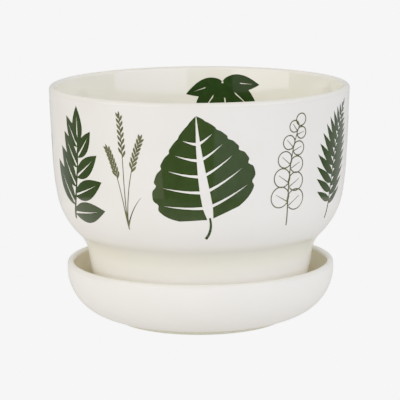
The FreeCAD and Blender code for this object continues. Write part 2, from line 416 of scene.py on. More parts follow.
@dataclass(frozen=True)
class Arc:
    """A round stretch of a section, walked with the air on the left."""

    centre: Vector
    radius: float
    first: float  # the angle where it starts, in radians
    last: float  # and where it ends
    coat: Coat = Coat.GLAZED

    def spots(self) -> list[Spot]:
        """Find points along the arc.

        Returns:
            Its spots, so close that their chords keep within SAG of it.
        """
        swing = self.last - self.first
        steps = max(LEAST_CHORDS, math.ceil(abs(swing) / (2 * math.sqrt(2 * SAG / self.radius))))
        side = -math.copysign(1, swing)
        found = []
        for step in range(steps + 1):
            angle = self.first + swing * step / steps
            ray = Vector((math.cos(angle), math.sin(angle)))
            found.append(Spot(self.centre + ray * self.radius, ray * side, self.coat))
        return found


Stretch = Straight | Arc


def outward(slope: float) -> Vector:
    """Give the outward normal of a wall that leans in by a slope, in radians, as it goes down."""
    return Vector((math.cos(slope), -math.sin(slope)))


def soften(corners: list[Vector], radius: float, coats: list[Coat]) -> list[Stretch]:
    """Round the inner corners of a line of straight stretches.

    Args:
        corners: the line's points, ends included.
        radius: the round at each point but the two ends.
        coats: the coat of each straight stretch; a round takes that of the stretch before it.

    Returns:
        The stretches in order.
    """
    made: list[Stretch] = []
    start = corners[0]
    for before, corner, after, coat in zip(corners, corners[1:], corners[2:], coats):
        back = (before - corner).normalized()
        ahead = (after - corner).normalized()
        half = back.angle(ahead) / 2
        setback = radius / math.tan(half)
        centre = corner + (back + ahead).normalized() * (radius / math.sin(half))
        first = math.atan2(*reversed(corner + back * setback - centre))
        last = math.atan2(*reversed(corner + ahead * setback - centre))
        swing = (last - first + math.pi) % (2 * math.pi) - math.pi
        made.append(Straight(start, corner + back * setback, coat))
        made.append(Arc(centre, radius, first, first + swing, coat))
        start = corner + ahead * setback
    made.append(Straight(start, corners[-1], coats[-1]))
    return made


def walk(stretches: list[Stretch], closed: bool) -> list[Spot]:
    """Join stretches that meet end to end.

    Args:
        stretches: the stretches in order.
        closed: whether the last one ends where the first begins.

    Returns:
        The spots along them, each shared end once.
    """
    found: list[Spot] = []
    for stretch in stretches:
        found += stretch.spots()[:-1]
    return found if closed else found + stretches[-1].spots()[-1:]


def round_the_axis(angle: float, out: float, up: float) -> Vector:
    """Place a point at an angle from the front towards the right, in radians."""
    return Vector((out * math.sin(angle), -out * math.cos(angle), up))


def make_piece(name: str, points: list[Vector], normals: list[Vector], faces: Faces) -> Piece:
    """Make a smooth mesh object.

    Args:
        name: the object's name.
        points: the vertices in mm.
        normals: the way the surface faces at each vertex.
        faces: the vertex numbers of each face.

    Returns:
        The object, in the scene.
    """
    mesh = bpy.data.meshes.new(name)
    mesh.from_pydata([point * MM for point in points], [], faces)
    mesh.polygons.foreach_set("use_smooth", [True] * len(faces))
    mesh.normals_split_custom_set_from_vertices(normals)
    piece = bpy.data.objects.new(name, mesh)
    bpy.context.collection.objects.link(piece)
    return piece


def turn(name: str, section: list[Stretch], lift: float, closed: bool) -> Piece:
    """Turn a section about the axis, as on a potter's wheel.

    Args:
        name: the piece's name.
        section: the section with the air on its left.
        lift: how far the piece stands above the table, in mm.
        closed: whether the section closes on itself.

    Returns:
        The piece, with each face's slot set by its coat.
    """
    spots = walk(section, closed)
    points: list[Vector] = []
    normals: list[Vector] = []
    rings: Faces = []
    for spot in spots:
        steps = 1 if spot.place.x < ON_AXIS else TURN_STEPS
        rings.append([len(points) + step for step in range(steps)])
        for step in range(steps):
            angle = 2 * math.pi * step / TURN_STEPS
            points.append(round_the_axis(angle, spot.place.x, spot.place.y + lift))
            normals.append(round_the_axis(angle, spot.facing.x, spot.facing.y))
    faces: Faces = []
    coats: list[int] = []
    pairs = list(zip(rings, rings[1:] + rings[:1], spots))
    for ring, following, spot in pairs if closed else pairs[:-1]:
        for step in range(TURN_STEPS):
            ahead = (step + 1) % TURN_STEPS
            loop = [ring[step % len(ring)], following[step % len(following)],
                    following[ahead % len(following)], ring[ahead % len(ring)]]
            faces.append(list(dict.fromkeys(loop)))
            coats.append(int(spot.coat))
    piece = make_piece(name, points, normals, faces)
    piece.data.polygons.foreach_set("material_index", coats)
    return piece


# The two fired pieces


@dataclass
class Saucer:
    """The dish under the pot, sizes in mm as in the CAD model."""

    lip_radius: float = 69.8  # to the middle of the lip's round
    height: float = 32.1
    wall: float = 3.6
    ring_outside: float = 46.1
    ring_width: float = 6.0
    ring_height: float = 2.4
    recess_depth: float = 3.4
    floor: float = 8.0
    corner: float = 10.0
    edge_round: float = 0.8
    ring_shade_reach: float = 4.0  # how far the thick glaze and painted shade above the ring reach
    lip_shade_run: float = 2.5  # how far the thin glaze and painted shade at the lip reach
    corner_shade_rise: float = 8.0  # from the floor to the middle of the thick glaze and painted shade inside
    corner_shade_reach: float = 9.5  # how far that reaches

    def section(self) -> list[Stretch]:
        """Draw the dish's section.

        Returns:
            The stretches from the middle of the floor over the lip to the middle of the underside.
        """
        lip = Vector((self.lip_radius, self.height - self.wall / 2))
        run, rise = lip.x - self.ring_outside, lip.y - self.ring_height
        radius = (run ** 2 + rise ** 2 - (self.wall / 2) ** 2) / (2 * rise - self.wall)
        centre = Vector((self.ring_outside, self.ring_height + radius))
        lip_angle = math.atan2(lip.y - centre.y, lip.x - centre.x)
        drop = centre.y - self.floor - self.corner
        corner_run = math.sqrt((radius - self.wall - self.corner) ** 2 - drop ** 2)
        corner_centre = Vector((centre.x + corner_run, self.floor + self.corner))
        corner_angle = math.atan2(-drop, corner_run)
        # The wall's round stops where the fillet into the ring's side begins.
        fillet = self.edge_round
        reach = math.asin(fillet / (radius + fillet))
        fillet_centre = centre + Vector((math.sin(reach), -math.cos(reach))) * (radius + fillet)
        ring_side = Vector((self.ring_outside, fillet_centre.y))
        ring_inside = self.ring_outside - self.ring_width
        bare = [ring_side, Vector((self.ring_outside, 0)), Vector((ring_inside, 0)),
                Vector((ring_inside, self.recess_depth)), Vector((0, self.recess_depth))]
        return [
            Straight(Vector((0, self.floor)), Vector((corner_centre.x, self.floor)), Coat.POURED),
            Arc(corner_centre, self.corner, -math.pi / 2, corner_angle, Coat.POURED),
            Arc(centre, radius - self.wall, corner_angle, lip_angle, Coat.POURED),
            Arc(lip, self.wall / 2, lip_angle + math.pi, lip_angle),
            Arc(centre, radius, lip_angle, reach - math.pi / 2),
            Arc(fillet_centre, fillet, math.pi / 2 + reach, math.pi),
            *soften(bare, fillet, [Coat.BARE] * 3 + [Coat.GLAZED]),
        ]

    def build(self) -> Piece:
        """Make the saucer in place of its CAD solid.

        Returns:
            The dish, without materials.
        """
        piece = turn("saucer_dish", self.section(), 0.0, closed=False)
        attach(piece, "saucer")
        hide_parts("saucer")
        return piece

    def dress(self, piece: Piece, dipped: CreamGlaze, poured_and_shaded: CreamGlaze, clay: BareClay) -> None:
        """Glaze the saucer, thicker inside, with bands that are partly painted shade, and leave its standing
        ring bare.

        Args:
            piece: the dish.
            dipped: the glaze outside.
            poured_and_shaded: the glaze inside.
            clay: the finish of the ring.
        """
        # Painted shade, partly pooled glaze, above the ring where the dish curves under towards the table.
        outside = [Band(self.ring_height, self.ring_shade_reach, dipped.pooled_and_painted_shading),
                   # Partly thin glaze, partly painted shade on the lip's lit top.
                   Band(self.height, self.lip_shade_run, dipped.thin)]
        # Painted shade, partly pooled glaze, in the inside corner under the pot's belly.
        corner = Band(self.floor + self.corner_shade_rise, self.corner_shade_reach, poured_and_shaded.pooled_and_painted_shading)
        piece.data.materials.append(dipped.material("saucer_glaze_cream", outside))
        piece.data.materials.append(clay.material("saucer_ring_clay"))
        piece.data.materials.append(poured_and_shaded.material("saucer_glaze_poured_shaded", [corner]))


@dataclass
class Pot:
    """The bowl on its stepped foot, sizes in mm and slopes in degrees as in the CAD model."""

    rim_radius: float = 80.0
    height: float = 118.5
    wall: float = 3.8
    side_taper: float = 2.4
    side_bend: float = 6.7
    side_curve: float = 164.0
    belly_curve: float = 38.5
    waist_curve: float = 18.8
    waist_height: float = 29.5
    waist_radius: float = 60.35
    standing_radius: float = 50.3
    foot_edge: float = 6.0
    ring_width: float = 7.0
    recess_depth: float = 2.5
    base: float = 5.0
    inside_corner: float = 8.0
    drain_radius: float = 8.0
    edge_round: float = 1.0
    seat: float = 8.0  # height of the saucer's floor
    lip_lean: float = 9.0  # degrees that the glaze leans out where it rounds into the lip inside
    waist_shade_rise: float = 4.0  # from the waist to the middle of the thick glaze and painted shade round it
    waist_shade_reach: float = 12.0  # how far that reaches
    foot_shade_reach: float = 14.0  # how far the thick glaze and painted shade round the foot reach
    lip_shade_run: float = 3.0  # how far the thin glaze and painted shade at the lip reach
    floor_light_reach: float = 14.0  # how far the thick glaze and painted light on the floor inside reach

    @property
    def floor(self) -> float:
        """Height of the floor inside above the standing ring."""
        return self.recess_depth + self.base

    def faces(self) -> dict[Face, list[Stretch]]:
        """Draw the section of the wall.

        Returns:
            Its outside from the lip down, and its inside from the floor up.
        """
        lip = Vector((self.rim_radius - self.wall / 2, self.height - self.wall / 2))
        waist = Vector((self.waist_radius, self.waist_height))
        foot_round = Vector((self.standing_radius, self.foot_edge))
        reach = waist - foot_round
        foot = math.acos(self.foot_edge / reach.length) - math.atan2(reach.y, reach.x)
        taper = math.radians(self.side_taper)
        lean = math.radians(self.lip_lean)
        bend = taper + math.radians(self.side_bend)
        waist_centre = waist + outward(foot) * self.waist_curve
        rounds = self.belly_curve + self.waist_curve
        run = (waist_centre - lip).dot(outward(taper)) - self.wall / 2 + self.side_curve
        run -= (self.side_curve - self.belly_curve) * math.cos(bend - taper)
        steepest = taper + math.acos(run / rounds)
        belly_centre = waist_centre - outward(steepest) * rounds
        side_centre = belly_centre - outward(bend) * (self.side_curve - self.belly_curve)
        corner_height = self.floor + self.inside_corner
        foot_top = waist - outward(foot) * self.wall
        corner_out = foot_top.dot(outward(foot)) - self.inside_corner + corner_height * math.sin(foot)
        corner_centre = Vector((corner_out / math.cos(foot), corner_height))
        outside: list[Stretch] = [
            Arc(lip, self.wall / 2, math.pi / 2, -taper),
            Straight(lip + outward(taper) * (self.wall / 2), side_centre + outward(taper) * self.side_curve),
            Arc(side_centre, self.side_curve, -taper, -bend),
            Arc(belly_centre, self.belly_curve, -bend, -steepest),
            Arc(waist_centre, self.waist_curve, math.pi - steepest, math.pi - foot),
            Straight(waist, foot_round + outward(foot) * self.foot_edge),
            Arc(foot_round, self.foot_edge, -foot, -math.pi / 2),
        ]
        inside: list[Stretch] = [
            Arc(corner_centre, self.inside_corner, -math.pi / 2, -foot, Coat.POURED),
            Straight(corner_centre + outward(foot) * self.inside_corner, foot_top, Coat.POURED),
            Arc(waist_centre, self.waist_curve + self.wall, math.pi - foot, math.pi - steepest, Coat.POURED),
            Arc(belly_centre, self.belly_curve - self.wall, -steepest, -bend, Coat.POURED),
            Arc(side_centre, self.side_curve - self.wall, -bend, -taper, Coat.POURED),
            Straight(side_centre + outward(taper) * (self.side_curve - self.wall),
                     lip - outward(lean) * (self.wall / 2), Coat.POURED),
            Arc(lip, self.wall / 2, math.pi - lean, math.pi / 2),
        ]
        return {Face.OUTSIDE: outside, Face.INSIDE: inside}

    def underside(self, floor_end: Vector) -> list[Stretch]:
        """Draw the section under the pot and through its floor.

        Args:
            floor_end: where the floor meets the inside corner.

        Returns:
            The bare ring, the recess, the drain hole and the floor.
        """
        ring_inside = self.standing_radius - self.ring_width
        corners = [Vector((self.standing_radius, 0)), Vector((ring_inside, 0)),
                   Vector((ring_inside, self.recess_depth)), Vector((self.drain_radius, self.recess_depth)),
                   Vector((self.drain_radius, self.floor)), floor_end]
        return soften(corners, self.edge_round, [Coat.BARE] + [Coat.GLAZED] * 3 + [Coat.POURED])

    def build(self) -> Piece:
        """Make the pot in place of its CAD solid.

        Returns:
            The bowl, without materials.
        """
        faces = self.faces()
        floor_end = faces[Face.INSIDE][0].spots()[0].place
        section = faces[Face.OUTSIDE] + self.underside(floor_end) + faces[Face.INSIDE]
        piece = turn("pot_bowl", section, self.seat, closed=True)
        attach(piece, "pot")
        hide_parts("pot")
        return piece

    def dress(self, piece: Piece, dipped: CreamGlaze, poured_and_shaded: CreamGlaze, clay: BareClay) -> None:
        """Glaze the pot, thicker inside, with bands and an inside tone that are partly painted shade and
        light, and leave its standing ring bare.

        Args:
            piece: the bowl.
            dipped: the glaze outside.
            poured_and_shaded: the glaze inside.
            clay: the finish of the ring.
        """
        # Painted shade, partly pooled glaze, in the waist's crease and round the foot under the belly.
        outside = [Band(self.seat + self.waist_height + self.waist_shade_rise, self.waist_shade_reach, dipped.pooled_and_painted_shading),
                   Band(self.seat + self.foot_edge, self.foot_shade_reach, dipped.pooled_and_painted_shading),
                   # Partly thin glaze, partly painted shade on the lip's lit top.
                   Band(self.seat + self.height, self.lip_shade_run, dipped.thin)]
        # Painted light, partly pooled glaze: a whiter floor inside, where little light reaches.
        floor = Band(self.seat + self.floor, self.floor_light_reach, poured_and_shaded.pooled_and_painted_shading)
        piece.data.materials.append(dipped.material("pot_glaze_cream", outside))
        piece.data.materials.append(clay.material("pot_ring_clay"))
        # Inside, the darker glaze is partly painted shade.
        piece.data.materials.append(poured_and_shaded.material("pot_glaze_poured_shaded", [floor]))


# The leaf print, drawn in mm on the flat


def along(path: list[Vector], share: float) -> tuple[Vector, float]:
    """Find a place on a path.

    Args:
        path: the path's points, evenly spaced.
        share: how far along it, from 0 to 1.

    Returns:
        The point, and the angle from upright that the path has there, in radians to the left.
    """
    spot = share * (len(path) - 1)
    index = min(int(spot), len(path) - 2)
    step = path[index + 1] - path[index]
    return path[index] + step * (spot - index), math.atan2(-step.x, step.y)


def ribbon(path: list[Vector], first: float, last: float) -> Outline:
    """Draw a line along a path.

    Args:
        path: the line's middle.
        first: its width at the start.
        last: its width at the end.

    Returns:
        The line's outline.
    """
    left: Outline = []
    right: Outline = []
    for index, point in enumerate(path):
        way = (path[min(index + 1, len(path) - 1)] - path[max(index - 1, 0)]).normalized()
        half = (first + (last - first) * index / (len(path) - 1)) / 2
        right.append(point + Vector((way.y, -way.x)) * half)
        left.append(point - Vector((way.y, -way.x)) * half)
    return right + left[::-1]


def moved(outline: Outline, place: Vector, tilt: float) -> Outline:
    """Turn an outline to the left about its origin, in radians, and move it to a place."""
    spin = Matrix.Rotation(tilt, 2)
    return [place + spin @ point for point in outline]


def mirrored(outline: Outline) -> Outline:
    """Mirror an outline left to right, walked from its other end."""
    return [Vector((-point.x, point.y)) for point in outline[::-1]]


def curled(outline: Outline, reach: float, curl: float) -> Outline:
    """Bend an outline to the right, by the curl at the height that it reaches."""
    return [Vector((point.x + curl * (point.y / reach) ** 2, point.y)) for point in outline]


@dataclass(frozen=True)
class Line:
    """A bent line that changes its width."""

    pull: tuple[float, float]  # the point that bends it
    end: tuple[float, float]
    widths: tuple[float, float]  # where it starts and where it ends
    start: tuple[float, float] = (0.0, 0.0)
    steps: int = 30

    def path(self) -> list[Vector]:
        """Find the line's middle.

        Returns:
            Points along it.
        """
        start, pull, end = Vector(self.start), Vector(self.pull), Vector(self.end)
        shares = [step / self.steps for step in range(self.steps + 1)]
        return [start * (1 - t) ** 2 + pull * (2 * t * (1 - t)) + end * t ** 2 for t in shares]

    def outline(self) -> Outline:
        """Draw the line."""
        return ribbon(self.path(), *self.widths)


@dataclass(frozen=True)
class Leaf:
    """A pointed leaf that stands on the origin."""

    length: float
    width: float
    vein: float = 0.0  # width of the bare vein at the stalk, 0 for none
    widest: float = 0.42  # where it is widest, as a share of its length
    curl: float = 0.0  # how far its tip bends to the right
    fullness: float = 0.92  # lower is fuller
    stalk: float = 0.15  # half its width at the stalk
    vein_side: float = 0.8  # how much wider a vein makes it there, as a share of the vein
    vein_reach: float = 0.8  # how far up the vein runs, as a share of the length
    step: float = 1.1  # between the points of its edge
    least_steps: int = 8  # of each side of a small leaf

    def outline(self) -> Outline:
        """Draw the leaf.

        Returns:
            Its outline, open along the vein.
        """
        power = math.log(0.5) / math.log(self.widest)
        steps = max(self.least_steps, round(self.length / self.step))
        right: Outline = []
        for share in [step / steps for step in range(steps)]:
            half = self.width / 2 * math.sin(math.pi * share ** power) ** self.fullness
            half += (self.vein * self.vein_side + self.stalk) * (1 - share)
            right.append(Vector((half, self.length * share)))
        outline = right + [Vector((0, self.length))] + mirrored(right)
        if self.vein:
            reach = self.length * self.vein_reach
            cut = [Vector((-self.vein / 2 * (1 - t), reach * t)) for t in (0, 0.25, 0.5, 0.75, 1)]
            outline += cut + mirrored(cut[:-1])
        return curled(outline, self.length, self.curl)


@dataclass(frozen=True)
class Seat:
    """A leaf's place on a stalk."""

    share: float  # from 0 at the lowest pair to 1 at the highest
    side: int  # 1 on the left, -1 on the right
    place: Vector
    tilt: float  # radians to the left


@dataclass(frozen=True)
class Pairs:
    """How leaves stand in pairs along a stalk."""

    count: int
    first: float  # the lowest pair's place as a share of the stalk
    last: float  # the highest pair's
    stagger: float  # how far up the left leaf and how far down the right one is moved
    spread: float  # degrees between a leaf of the lowest pair and the stalk
    closing: float = 0.0  # degrees by which the highest pair is closer to it

    def seats(self, stalk: list[Vector]) -> list[Seat]:
        """Find the leaves' places.

        Args:
            stalk: the stalk's middle line.

        Returns:
            The seats from the lowest pair up, the left one of each first.
        """
        found: list[Seat] = []
        for share in [pair / (self.count - 1) for pair in range(self.count)]:
            for side in (1, -1):
                height = self.first + (self.last - self.first) * share + self.stagger * side
                place, lean = along(stalk, height)
                tilt = lean + side * math.radians(self.spread - self.closing * share)
                found.append(Seat(share, side, place, tilt))
        return found


class Drawing(Protocol):
    """A motif of the print, with its stalk on the origin."""

    ink: Ink

    def outlines(self) -> list[Outline]:
        """Give the closed outlines that are filled with ink."""


@dataclass(frozen=True)
class LeafySprig:
    """A stalk with leaves in pairs and one more at its tip."""

    stalk: Line
    pairs: Pairs
    leaf: Leaf
    crown: Leaf
    crown_place: float = 1.0  # of the leaf at the tip, as a share of the stalk
    ink: Ink = Ink.GREEN

    def grown(self, seat: Seat) -> Leaf:
        """Give the leaf at a seat."""
        return self.leaf

    def outlines(self) -> list[Outline]:
        """Draw the sprig.

        Returns:
            The stalk, the leaves from the lowest up, and the one at the tip.
        """
        path = self.stalk.path()
        seats = self.pairs.seats(path)
        leaves = [moved(self.grown(seat).outline(), seat.place, seat.tilt) for seat in seats]
        crown = moved(self.crown.outline(), *along(path, self.crown_place))
        return [self.stalk.outline(), *leaves, crown]


@dataclass(frozen=True)
class LaurelTwig(LeafySprig):
    """A bent twig with narrow leaves."""

    stalk: Line = Line((5.0, 21.5), (0.0, 43.0), widths=(1.9, 0.9), steps=24)
    pairs: Pairs = Pairs(count=4, first=0.16, last=0.9, stagger=0.06, spread=62.0, closing=21.0)
    leaf: Leaf = Leaf(27.0, 10.5, vein=1.1, widest=0.45, curl=2.2)
    crown: Leaf = Leaf(19.44, 7.56, vein=1.1)
    shrink: float = 0.34  # how much smaller the highest pair is

    def grown(self, seat: Seat) -> Leaf:
        """Give a leaf that is smaller the higher it sits.

        Args:
            seat: the leaf's place.

        Returns:
            The leaf.
        """
        size = 1 - self.shrink * seat.share
        return replace(self.leaf, length=self.leaf.length * size, width=self.leaf.width * size,
                       curl=self.leaf.curl * seat.side)


@dataclass(frozen=True)
class BroadLeaf:
    """One wide leaf with a bare midrib and bare side veins, on a short stalk."""

    length: float = 54.0
    width: float = 55.0
    stalk: float = 6.0  # height of the leaf's foot
    stem: Line = Line((0.0, 0.0), (0.0, 7.5), widths=(1.8, 1.2), start=(-5.0, -4.0), steps=12)
    curl: float = 6.0
    crown: float = 0.62  # lower brings the widest place further down
    fullness: float = 0.85  # lower is fuller
    edge_steps: int = 72
    tip: float = 0.1  # half its width at the tip
    foot: float = 0.012  # share of the midrib below the ink
    midrib: float = 1.9
    midrib_side: float = 0.12  # ink kept clear of each side of the midrib
    veins: int = 5
    vein: float = 1.6
    first_vein: float = 0.13  # share of the midrib where the lowest vein starts
    vein_step: float = 0.152
    vein_rise: float = 0.42
    vein_bend: float = 1.35
    vein_stops: tuple[float, ...] = (0.1, 0.28, 0.46, 0.64, 0.78)  # shares of the way out where it is drawn
    vein_end: float = 0.9  # share of the way out where the lowest vein ends
    vein_shortening: float = 0.03  # by which each higher one ends sooner
    notch: float = 0.07  # depth of the dents in the edge between the veins' lobes
    notch_power: int = 8  # higher is narrower
    ink: Ink = Ink.GREEN

    def place(self, share: float, out: float) -> Vector:
        """Find a point of the leaf.

        Args:
            share: the share of the midrib where a vein through the point starts.
            out: how far out along that vein the point is, from 0 to 1.

        Returns:
            The point, before the leaf curls.
        """
        top = share + self.vein_rise * math.sqrt(share) * (1 - share)
        half = self.width / 2 * math.sin(math.pi * top ** self.crown) ** self.fullness
        beat = (share - self.first_vein) / self.vein_step
        half *= 1 - self.notch * abs(math.cos(math.pi * beat)) ** self.notch_power
        rise = share + (top - share) * out ** self.vein_bend
        return Vector((half * out, self.stalk + self.length * rise))

    def by_midrib(self, share: float, out: float) -> Vector:
        """Find a point as place does, kept clear of the bare midrib."""
        point = self.place(share, out)
        return Vector((max(point.x, self.midrib / 2 * (1 - share) + self.midrib_side), point.y))

    def half(self) -> Outline:
        """Draw the right half.

        Returns:
            Its outline, cut in from the midrib along each side vein.
        """
        outline = [self.place(step / self.edge_steps, 1.0) for step in range(1, self.edge_steps)]
        outline.append(Vector((self.tip, self.stalk + self.length)))
        width = self.vein / 2 / self.length
        for index in reversed(range(self.veins)):
            share = self.first_vein + self.vein_step * index
            end = self.vein_end - self.vein_shortening * index
            upper = [self.by_midrib(share + width * (1 - out / end), out) for out in self.vein_stops]
            lower = [self.by_midrib(share - width * (1 - out / end), out) for out in self.vein_stops]
            outline += upper + [self.by_midrib(share, end)] + lower[::-1]
        return outline + [self.by_midrib(self.foot, self.vein_stops[0])]

    def outlines(self) -> list[Outline]:
        """Draw the leaf.

        Returns:
            Its two halves and its stalk.
        """
        half = self.half()
        reach = self.stalk + self.length
        bent = [curled(side, reach, self.curl) for side in (half, mirrored(half))]
        return [*bent, self.stem.outline()]


@dataclass(frozen=True)
class FernFrond(LeafySprig):
    """A frond with many small leaflets that shorten towards the tip."""

    stalk: Line = Line((-10.0, 33.55), (2.0, 61.0), widths=(1.4, 0.5), steps=36)
    pairs: Pairs = Pairs(count=12, first=0.14, last=0.94, stagger=0.012, spread=66.0, closing=20.0)
    leaf: Leaf = Leaf(19.0, 2.7, widest=0.36, curl=1.0)
    crown: Leaf = Leaf(5.0, 1.8)
    crown_place: float = 0.97
    least_width: float = 1.7  # to which the leaf's own is added by its size
    swell: tuple[float, float] = (0.28, 0.94)  # stretch of a half wave that the sizes follow

    def grown(self, seat: Seat) -> Leaf:
        """Give a leaflet whose size swells and then shrinks towards the tip.

        Args:
            seat: the leaflet's place.

        Returns:
            The leaflet.
        """
        low, high = self.swell
        size = math.sin(math.pi * (low + (high - low) * seat.share))
        return replace(self.leaf, length=self.leaf.length * size, curl=self.leaf.curl * seat.side * size,
                       width=self.least_width + self.leaf.width * size)


@dataclass(frozen=True)
class GrassEar(LeafySprig):
    """A fine stalk of grass with a loose ear, on a given line."""

    pairs: Pairs = Pairs(count=7, first=0.62, last=0.98, stagger=0.014, spread=27.0)
    leaf: Leaf = Leaf(4.6, 1.25, widest=0.6)
    crown: Leaf = Leaf(4.0, 1.1, widest=0.6)
    shortening: float = 0.576  # mm by which the highest grain is shorter
    ink: Ink = Ink.OLIVE

    def grown(self, seat: Seat) -> Leaf:
        """Give a grain that is shorter the higher it sits."""
        return replace(self.leaf, length=self.leaf.length - self.shortening * seat.share)


@dataclass(frozen=True)
class SeedGrass:
    """A tuft of three stalks of grass."""

    heights: tuple[float, ...] = (58.0, 48.0, 42.0)
    leans: tuple[float, ...] = (-2.0, 11.0, -13.0)  # degrees to the right
    bow: tuple[float, float] = (0.15, 0.6)  # where a stalk is bent, as shares of its tip's place
    widths: tuple[float, float] = (0.713, 0.434)
    blade: Line = Line((4.0, 13.0), (9.0, 18.0), widths=(1.0, 0.25), start=(0.0, 2.0), steps=18)
    ink: Ink = Ink.OLIVE

    def outlines(self) -> list[Outline]:
        """Draw the tuft.

        Returns:
            Each stalk with its ear, and a blade at the foot.
        """
        drawn: list[Outline] = []
        for height, lean in zip(self.heights, self.leans):
            out, up = height * math.sin(math.radians(lean)), height * math.cos(math.radians(lean))
            stalk = Line((out * self.bow[0], up * self.bow[1]), (out, up), self.widths)
            drawn += GrassEar(stalk).outlines()
        return drawn + [self.blade.outline()]


@dataclass(frozen=True)
class CoinSprig:
    """A sprig of round leaves drawn in line."""

    stalk: Line = Line((-6.0, 30.0), (1.0, 52.0), widths=(0.91, 0.56))
    pairs: Pairs = Pairs(count=5, first=0.2, last=0.92, stagger=0.02, spread=58.0)
    radius: float = 5.8
    shrink: float = 0.42  # how much smaller the highest pair is
    crown: float = 0.6  # size of the leaf at the tip
    line: float = 0.7
    rib: tuple[float, float] = (0.63, 0.35)  # widths of a midrib
    rib_length: float = 1.5  # in radii
    gap: float = 0.12  # radians that a ring is open on each side of its stalk
    ring_steps: int = 26
    ink: Ink = Ink.OLIVE

    def ring(self, radius: float) -> Outline:
        """Draw a round leaf as a line.

        Args:
            radius: of the line's outer edge.

        Returns:
            The line's outline, which stops at the leaf's stalk.
        """
        sweep = 2 * math.pi - 2 * self.gap
        turns = [self.gap + sweep * step / self.ring_steps for step in range(self.ring_steps + 1)]
        rays = [Vector((math.sin(turned), -math.cos(turned))) for turned in turns]
        outer = [ray * radius + Vector((0, radius)) for ray in rays]
        inner = [ray * (radius - self.line) + Vector((0, radius)) for ray in rays]
        return outer + inner[::-1]

    def outlines(self) -> list[Outline]:
        """Draw the sprig.

        Returns:
            The stalk, each leaf with its midrib, and the leaf at the tip.
        """
        path = self.stalk.path()
        drawn = [self.stalk.outline()]
        for seat in self.pairs.seats(path):
            radius = self.radius * (1 - self.shrink * seat.share)
            rib = [Vector((0, t * radius * self.rib_length)) for t in (0, 0.33, 0.66, 1)]
            shapes = [self.ring(radius), ribbon(rib, *self.rib)]
            drawn += [moved(shape, seat.place, seat.tilt) for shape in shapes]
        drawn.append(moved(self.ring(self.radius * self.crown), *along(path, 1.0)))
        return drawn


@dataclass(frozen=True)
class HangingSpray:
    """Leaves that hang in a fan from one knot, for the inside of the wall."""

    leaf: Leaf = Leaf(33.0, 14.0, vein=0.9)
    fan: tuple[float, ...] = (180.0, 138.0, 222.0, 100.0, 260.0)  # degrees to the left of upright
    sizes: tuple[float, ...] = (1.0, 0.9, 0.9, 0.66, 0.66)
    ink: Ink = Ink.DEEP

    def outlines(self) -> list[Outline]:
        """Draw the spray.

        Returns:
            The leaves from the middle out.
        """
        drawn: list[Outline] = []
        for turned, size in zip(self.fan, self.sizes):
            shape = replace(self.leaf, length=self.leaf.length * size, width=self.leaf.width * size)
            drawn.append(moved(shape.outline(), Vector((0, 0)), math.radians(turned)))
        return drawn


@dataclass(frozen=True)
class Transfer:
    """A motif laid on the wall."""

    drawing: Drawing
    angle: float  # degrees from the front towards the right
    drop: float  # mm of its origin below the lip
    tilt: float = 0.0  # degrees to the left
    face: Face = Face.OUTSIDE


@dataclass
class WallFace:
    """One face of the pot's wall, read by the distance down it from the top of the lip."""

    spots: list[Spot]
    radius: float  # mm, at which a flat drawing keeps its width
    hand: int  # 1 where its right is the pot's right, -1 where it is the pot's left
    lift: float  # mm that the pot stands above the table
    lengths: list[float] = field(default_factory=list)

    def __post_init__(self) -> None:
        """Add up the distance to each spot."""
        self.lengths = [0.0]
        for before, after in zip(self.spots, self.spots[1:]):
            self.lengths.append(self.lengths[-1] + (after.place - before.place).length)

    def lay(self, angle: float, drop: float, proud: float) -> tuple[Vector, Vector]:
        """Find a point of the wall.

        Args:
            angle: from the front towards the right, in radians.
            drop: mm down the wall from the top of the lip.
            proud: mm out of the surface.

        Returns:
            The point in mm and the wall's normal there.
        """
        index = 0
        while index < len(self.lengths) - 2 and self.lengths[index + 1] < drop:
            index += 1
        share = (drop - self.lengths[index]) / (self.lengths[index + 1] - self.lengths[index])
        before, after = self.spots[index], self.spots[index + 1]
        facing = before.facing.lerp(after.facing, share).normalized()
        place = before.place.lerp(after.place, share) + facing * proud
        return round_the_axis(angle, place.x, place.y + self.lift), round_the_axis(angle, facing.x, facing.y)


